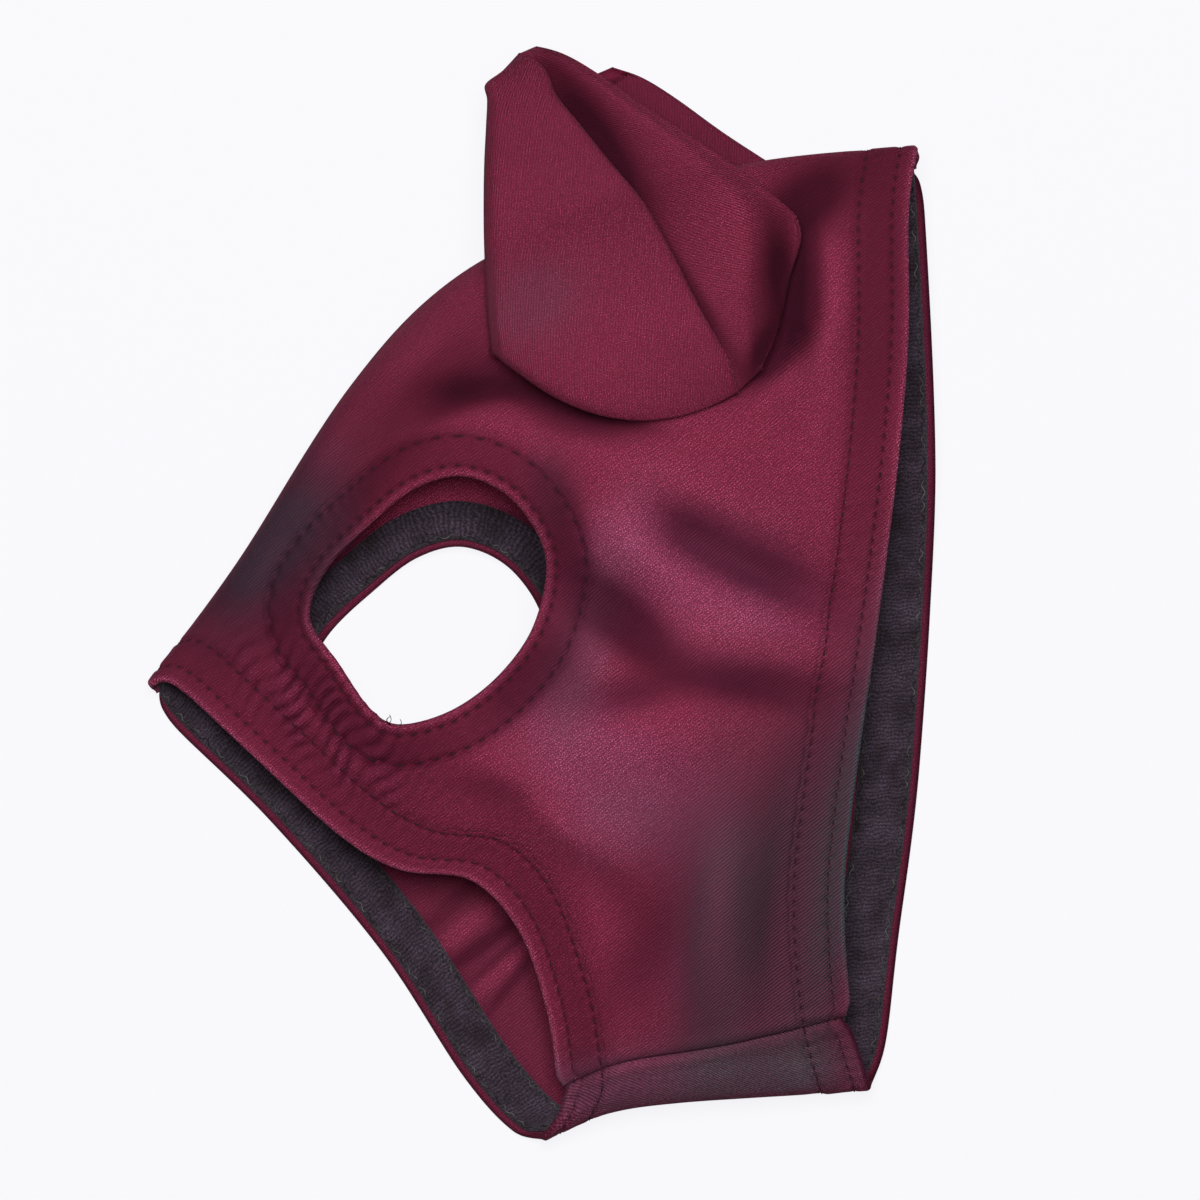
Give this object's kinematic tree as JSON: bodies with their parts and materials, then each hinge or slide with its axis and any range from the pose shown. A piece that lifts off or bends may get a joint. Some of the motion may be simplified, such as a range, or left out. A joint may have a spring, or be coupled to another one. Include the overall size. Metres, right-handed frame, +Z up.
{
  "type": "toy horse mask",
  "caption": "Stretch-fabric mask for a toy horse's head, with ear pockets, eye holes and taped hems, lying on its side.",
  "frame": {"origin": "under the middle of the mask's box, on the table it lies on", "axes": "+X towards the neck opening, +Y towards the tips of the ears, +Z up from the table to the mask's left side"},
  "size_m": [0.157, 0.2164, 0.0416],
  "materials": {
    "knit_fabric": "satin stretch knit",
    "woolly_tape": "matt, fluffy"
  },
  "bodies": {
    "root": {"left_panel": "knit_fabric", "right_panel": "knit_fabric", "left_ear": "knit_fabric", "right_ear": "knit_fabric", "nose_tape": "woolly_tape", "neck_tape": "woolly_tape", "left_eye_tape": "woolly_tape", "right_eye_tape": "woolly_tape"}
  },
  "joints": []
}
